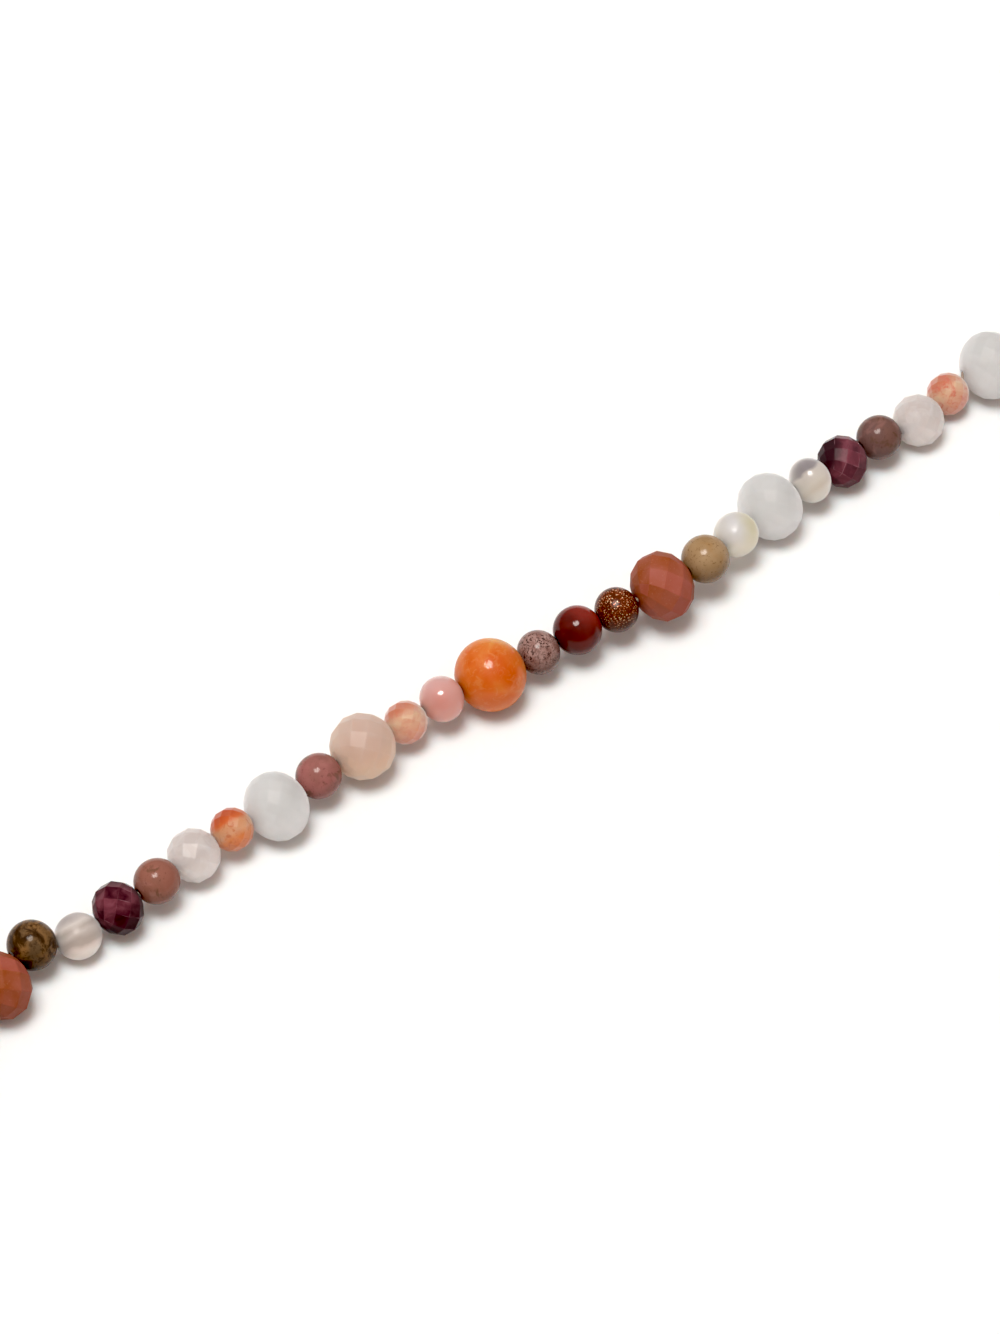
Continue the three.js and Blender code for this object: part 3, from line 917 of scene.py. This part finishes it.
def ring_form(rings):
    """A closed skin over rings of corners, the last joined to the first through the hole."""
    form = bmesh.new()
    corners = [[form.verts.new(point) for point in ring] for ring in rings]
    for low, high in zip(corners, corners[1:] + corners[:1]):
        sides = len(low)
        lag = low[0].co.yz.angle_signed(high[0].co.yz)
        for i in range(sides):
            j = (i + 1) % sides
            if abs(lag) <= SAME_WAY:
                form.faces.new((low[i], high[i], high[j], low[j]))
            elif lag < 0:
                form.faces.new((low[i], high[i], low[j]))
                form.faces.new((low[j], high[i], high[j]))
            else:
                form.faces.new((low[i], high[i], high[j]))
                form.faces.new((low[i], high[j], low[j]))
    bmesh.ops.recalc_face_normals(form, faces=form.faces)
    return form


SMOOTH_SIDES = 40
SMOOTH_RINGS = 20
CLASP_SIDES = 64
MOUTH = THREAD_WIDE / 2 + 0.01  # the thread fills the mouths
MOUTH_DEEP = 0.02  # how far a round bead's hole is countersunk
LIT_FROM_DOWN = radians(193)  # where round the hole a facet faces the lamp
UNLIT = ("carnelian", "peach_quartz")  # these have an edge there instead
CUT_END = 0.045  # how far a cut bead's rounded end stands out
CUT_STOP = 0.12  # the facets end within this share of half the width from the hole
FLAT_WITHIN = radians(1.5)  # faces that meet at less than this are one facet
EDGE_FROM = 4 * FLAT_WITHIN  # and at more than this they have a polished edge
# How each kind is cut: sides round it, how far its corners stand out so that the bead looks as
# wide as it is, and the width of the polished edges between its facets.
FACETING = {
    "coral_rondelle": (8, 1.045, 0.05),
    "white_rondelle": (12, 1.035, 0.12),
    "moonstone_bead": (9, 1.035, 0.08),
    "garnet": (8, 1.06, 0.035),
    "rose_quartz": (8, 1.03, 0.06),
    "carnelian": (10, 1.015, 0.03),
    "peach_quartz": (10, 1, 0.03),
}
BEVEL_FROM = 0.45  # the facets nearer to the hole than this share of the width stay sharp


def smooth_form(bead):
    """A round bead, drilled, with rounded mouths."""
    half_wide = bead.wide / 2
    ball = bead.long / 2 / sin(acos(bead.rings[-1][1]))
    widest = acos(MOUTH / half_wide)
    rings = []
    for i in range(SMOOTH_RINGS + 1):
        angle = widest * (2 * i / SMOOTH_RINGS - 1)
        rings.append(corner_ring(ball * sin(angle), half_wide * cos(angle), SMOOTH_SIDES, 0))
    for way in (1, -1):
        deep = ball * sin(widest) - MOUTH_DEEP
        rings.append(corner_ring(way * deep, MOUTH, SMOOTH_SIDES, 0))
    form = ring_form(rings)
    for face in form.faces:
        face.smooth = True
    return form


def cut_rings(sides, mouth):
    """Rings of corners on a ball, as (along, out), that leave every four-cornered facet flat."""
    step = cos(pi / sides)
    rings = [(0, 1), (sin(pi / sides), step)]
    while rings[-1][1] > mouth:
        (start, start_out), (along, out) = rings[-2:]
        run, fall = along - start, out * step - start_out
        far = -2 * (start * run + start_out * fall) / (run ** 2 + fall ** 2)
        rings.append((start + far * run, start_out + far * fall))
    return rings


def cut_form(bead):
    """A bead cut in kite-shaped facets, drilled, its edges a little polished away."""
    sides, stands_out, edge_wide = FACETING[bead.kind]
    half_long, half_wide = bead.long / 2 + CUT_END, bead.wide / 2 * stands_out
    half = cut_rings(sides, MOUTH / half_wide + CUT_STOP)
    whole = mirrored(half)
    reach, middle = half[-1][0], len(half) - 1
    lit = LIT_FROM_DOWN * sides / (2 * pi) + (bead.kind in UNLIT) / 2
    turns = [lit + (r - middle) % 2 / 2 for r in range(len(whole))]
    rings = [
        corner_ring(along / reach * half_long, out * half_wide, sides, turn)
        for (along, out), turn in zip(whole, turns)
    ]
    rings.append(corner_ring(half_long, MOUTH, sides, turns[-1]))
    rings.append(corner_ring(-half_long, MOUTH, sides, turns[0]))
    form = ring_form(rings)
    lowest = -bead.wide / 2 * cos(pi / CUTS[bead.cut]["sides"])
    for corner in form.verts:
        corner.co.z = max(corner.co.z, lowest)
    bmesh.ops.dissolve_limit(form, angle_limit=FLAT_WITHIN, verts=form.verts, edges=form.edges)
    facet_numbers = form.faces.layers.float.new("facet")
    polished_edges = form.faces.layers.float.new("edge")
    for number, face in enumerate(form.faces):
        face[facet_numbers] = number
    outer = [
        edge for edge in form.edges
        if min(corner.co.yz.length for corner in edge.verts) > BEVEL_FROM * half_wide
        and edge.calc_face_angle(0) > EDGE_FROM
    ]
    bevel = bmesh.ops.bevel(
        form, geom=outer, offset=edge_wide / 2, offset_type="OFFSET", segments=2,
        profile=0.5, affect="EDGES", clamp_overlap=True,
    )
    for face in bevel["faces"]:
        face[polished_edges] = 1
    return form


SHOULDER_LONG, SHOULDER_DEEP = 1.0, 0.7
LIP = 0.1  # radius of the clasp's rounded mouth
SEAM_HALF, SEAM_DEEP = 0.1, 0.05
LIP_STEPS, SHOULDER_STEPS = 3, 8


def barrel_form(clasp):
    """The clasp: a plain barrel with rounded shoulders and a blind hole in each end."""
    half, radius, bore = clasp.long / 2, CLASP_WIDE / 2, LARGE_BORE / 2
    quarter = [(half - CLASP_HOLE_DEEP, bore), (half - LIP, bore)]
    for i in range(LIP_STEPS + 1):
        angle = pi - pi / 2 * i / LIP_STEPS
        quarter.append((half - LIP + LIP * sin(angle), bore + LIP + LIP * cos(angle)))
    for i in range(SHOULDER_STEPS + 1):
        angle = pi / 2 * i / SHOULDER_STEPS
        along = half - SHOULDER_LONG + SHOULDER_LONG * cos(angle)
        quarter.append((along, radius - SHOULDER_DEEP + SHOULDER_DEEP * sin(angle)))
    quarter += [
        (SEAM_HALF + SEAM_DEEP, radius), (SEAM_HALF, radius),
        (SEAM_HALF - SEAM_DEEP, radius - SEAM_DEEP),
    ]
    outline = quarter + [(-along, out) for along, out in reversed(quarter)]
    form = bmesh.new()
    rings = [
        [form.verts.new(point) for point in corner_ring(along, out, CLASP_SIDES, 0)]
        for along, out in outline
    ]
    for low, high in zip(rings, rings[1:]):
        for i in range(CLASP_SIDES):
            j = (i + 1) % CLASP_SIDES
            form.faces.new((low[i], high[i], high[j], low[j]))
    form.faces.new(rings[0])
    form.faces.new(rings[-1])
    bmesh.ops.recalc_face_normals(form, faces=form.faces)
    for face in form.faces:
        face.smooth = len(face.verts) == 4
    return form


# ------------------------------------------------------------------ Geometry Nodes
PLY_SIDES = 6  # sides of the section of one ply


def new_tree(name, inputs):
    """A geometry tree with named inputs; gives the tree, its input node and its output node."""
    tree = bpy.data.node_groups.new(name, "GeometryNodeTree")
    for label, kind in (("Geometry", "NodeSocketGeometry"), *inputs):
        tree.interface.new_socket(name=label, in_out="INPUT", socket_type=kind)
    tree.interface.new_socket(name="Geometry", in_out="OUTPUT", socket_type="NodeSocketGeometry")
    return tree, tree.nodes.new("NodeGroupInput"), tree.nodes.new("NodeGroupOutput")


def end_tree(tree, result, shape, material):
    """Makes copies into a real shape, and gives it its material."""
    real = add(tree, "GeometryNodeRealizeInstances", {"Geometry": shape})
    done = add(tree, "GeometryNodeSetMaterial", {
        "Geometry": real.outputs["Geometry"], "Material": material,
    })
    plug(tree, result.inputs["Geometry"], done.outputs["Geometry"])
    return tree


def stringing_tree():
    """Sets the bead that comes in on every place of the strand, each turned to its thread."""
    tree, given, result = new_tree("beads on the strand", (
        ("Places", "NodeSocketObject"),
        ("Stone", "NodeSocketMaterial"),
        ("Scale", "NodeSocketFloat"),
    ))
    position = add(tree, "GeometryNodeInputPosition")
    kept = add(tree, "GeometryNodeStoreNamedAttribute", {
        "Geometry": given.outputs["Geometry"], "Name": "bead_place",
        "Value": position.outputs["Position"],
    }, data_type="FLOAT_VECTOR", domain="POINT")
    places = add(tree, "GeometryNodeObjectInfo", {"Object": given.outputs["Places"]})
    turn = add(tree, "GeometryNodeInputNamedAttribute", {"Name": "turn"}, data_type="FLOAT_VECTOR")
    turned = add(tree, "FunctionNodeEulerToRotation", {0: turn.outputs["Attribute"]})
    strung = add(tree, "GeometryNodeInstanceOnPoints", {
        "Points": places.outputs["Geometry"], "Instance": kept.outputs["Geometry"],
        "Rotation": turned.outputs["Rotation"], "Scale": given.outputs["Scale"],
    })
    return end_tree(tree, result, strung.outputs["Instances"], given.outputs["Stone"])


def plying_tree():
    """Winds plies round the route that comes in, and gives each its round section."""
    tree, given, result = new_tree("plied thread", (
        ("Plies", "NodeSocketInt"),
        ("Ply radius", "NodeSocketFloat"),
        ("Turns", "NodeSocketFloat"),
        ("Steps", "NodeSocketInt"),
        ("Yarn", "NodeSocketMaterial"),
    ))
    route = add(tree, "GeometryNodeMeshToCurve", {"Mesh": given.outputs["Geometry"]})
    fine = add(tree, "GeometryNodeResampleCurve", {
        "Curve": route.outputs["Curve"], "Count": given.outputs["Steps"],
    })
    line = add(tree, "GeometryNodeMeshLine", {
        "Count": given.outputs["Plies"], "Offset": (0, 0, 0),
    })
    number = add(tree, "GeometryNodeInputIndex")
    marked = add(tree, "GeometryNodeStoreNamedAttribute", {
        "Geometry": line.outputs["Mesh"], "Name": "ply", "Value": number.outputs["Index"],
    }, data_type="FLOAT", domain="POINT")
    copies = add(tree, "GeometryNodeInstanceOnPoints", {
        "Points": marked.outputs["Geometry"], "Instance": fine.outputs["Curve"],
    })
    plies = add(tree, "GeometryNodeRealizeInstances", {"Geometry": copies.outputs["Instances"]})
    ply = add(tree, "GeometryNodeInputNamedAttribute", {"Name": "ply"}, data_type="FLOAT")
    share = calculate(tree, "DIVIDE", ply.outputs["Attribute"], given.outputs["Plies"])
    along = add(tree, "GeometryNodeSplineParameter")
    wound = calculate(
        tree, "MULTIPLY_ADD", along.outputs["Factor"], given.outputs["Turns"], share,
    )
    angle = calculate(tree, "MULTIPLY", wound, 2 * pi)
    tangent = add(tree, "GeometryNodeInputTangent")
    aside = calculate_vector(tree, "CROSS_PRODUCT", tangent.outputs["Tangent"], (0, 0, 1))
    parts = []
    for operation, direction in (("COSINE", aside), ("SINE", (0, 0, 1))):
        wave = calculate(tree, operation, angle)
        size = calculate(tree, "MULTIPLY", wave, given.outputs["Ply radius"])
        part = add(
            tree, "ShaderNodeVectorMath", {0: direction, "Scale": size}, operation="SCALE",
        )
        parts.append(part.outputs["Vector"])
    offset = calculate_vector(tree, "ADD", *parts)
    laid = add(tree, "GeometryNodeSetPosition", {
        "Geometry": plies.outputs["Geometry"], "Offset": offset,
    })
    section = add(tree, "GeometryNodeCurvePrimitiveCircle", {
        "Resolution": PLY_SIDES, "Radius": given.outputs["Ply radius"],
    })
    body = add(tree, "GeometryNodeCurveToMesh", {
        "Curve": laid.outputs["Geometry"], "Profile Curve": section.outputs["Curve"],
        "Fill Caps": True,
    })
    return end_tree(tree, result, body.outputs["Mesh"], given.outputs["Yarn"])


def run_tree(name, mesh, tree, values):
    """The plain piece that a tree makes from a mesh and the values of its named inputs."""
    rough = new_object(name + " rough", mesh)
    modifier = rough.modifiers.new("making", "NODES")
    modifier.node_group = tree
    sockets = {item.name: item.identifier for item in tree.interface.items_tree}
    for label, value in values.items():
        modifier[sockets[label]] = value
    graph = bpy.context.evaluated_depsgraph_get()
    made = bpy.data.meshes.new_from_object(
        rough.evaluated_get(graph), preserve_all_data_layers=True, depsgraph=graph,
    )
    made.name = name
    bpy.data.objects.remove(rough)
    piece = new_object(name, made)
    return piece


STRINGING = stringing_tree()
PLYING = plying_tree()


def places_of(beads):
    """A point for each bead, which holds its turn and its number on the strand."""
    mesh = bpy.data.meshes.new("places")
    mesh.from_pydata([in_frame(bead.centre) for bead in beads], [], [])
    turns = mesh.attributes.new("turn", "FLOAT_VECTOR", "POINT")
    numbers = mesh.attributes.new("bead_number", "FLOAT_VECTOR", "POINT")
    for i, bead in enumerate(beads):
        up = (Vector((0, 0, 1)) - bead.axis * bead.axis.z).normalized()
        side = up.cross(bead.axis)
        place = RING.index(bead)
        way = -1 if place in BACKWARDS else 1
        facing = Matrix((way * bead.axis, way * side, up)).transposed()
        turns.data[i].vector = facing.to_euler()
        numbers.data[i].vector = [place] * 3
    places = new_object("places", mesh)
    return places


def string_piece(name, beads, form, slot):
    """Beads of one kind as one piece, which stands for the solids that they are in."""
    mesh = bpy.data.meshes.new(name + " form")
    form.to_mesh(mesh)
    form.free()
    places = places_of(beads)
    piece = run_tree(name, mesh, STRINGING, {
        "Places": places, "Stone": MATERIALS[slot], "Scale": MM,
    })
    bpy.data.objects.remove(places)
    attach(piece, "root")
    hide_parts(*sorted({bead.solid for bead in beads}))


# ------------------------------------------------------------------ pieces
FORMS = {"smooth": smooth_form, "ball": smooth_form, "faceted": cut_form, "rondelle": cut_form}


def make_beads():
    for kind in KINDS:
        slot = SLOTS.get(kind, kind)
        beads = [bead for bead in RING if bead.kind == kind and not bead.clasp]
        first = beads[0]
        if first.large:
            for bead in beads:
                string_piece(f"{bead.solid}_stone", [bead], FORMS[bead.cut](bead), slot)
        else:
            string_piece(f"{kind}_beads", beads, FORMS[first.cut](first), slot)


PLIES = 3
LAY = 1.1  # length of one turn of the plies
STEPS_A_TURN = 9
THREAD_IN_CLASP = 0.9  # share of the clasp's hole that the thread's end fills


def make_thread():
    """The thread, from inside the clasp's one end through every bead to its other end."""
    first = RING.index(CLASP)
    order = RING[first:] + RING[:first]
    inside = CLASP.long / 2 - CLASP_HOLE_DEEP * THREAD_IN_CLASP
    points = [CLASP.centre + CLASP.axis * inside]
    for bead in order[1:]:
        points += [bead.centre + bead.axis * (share * bead.long / 2) for share in (-1, 0, 1)]
    points.append(CLASP.centre - CLASP.axis * inside)
    mesh = bpy.data.meshes.new("thread route")
    edges = [(i, i + 1) for i in range(len(points) - 1)]
    mesh.from_pydata([in_frame(point) for point in points], edges, [])
    turns = round(sum((b - a).length for a, b in zip(points, points[1:])) / LAY)
    # Plies that touch: their middles lie on a circle as wide as each ply.
    ply_radius = THREAD_WIDE / 2 / (1 + 2 / sqrt(3)) * MM
    thread = run_tree("plied_thread", mesh, PLYING, {
        "Plies": PLIES, "Ply radius": ply_radius, "Turns": float(turns),
        "Steps": turns * STEPS_A_TURN, "Yarn": MATERIALS["thread"],
    })
    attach(thread, "root")
    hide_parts(*sorted({bead.solid for bead in RING if not bead.large}))


make_beads()
make_thread()
string_piece("barrel_clasp_body", [CLASP], barrel_form(CLASP), "clasp_metal")
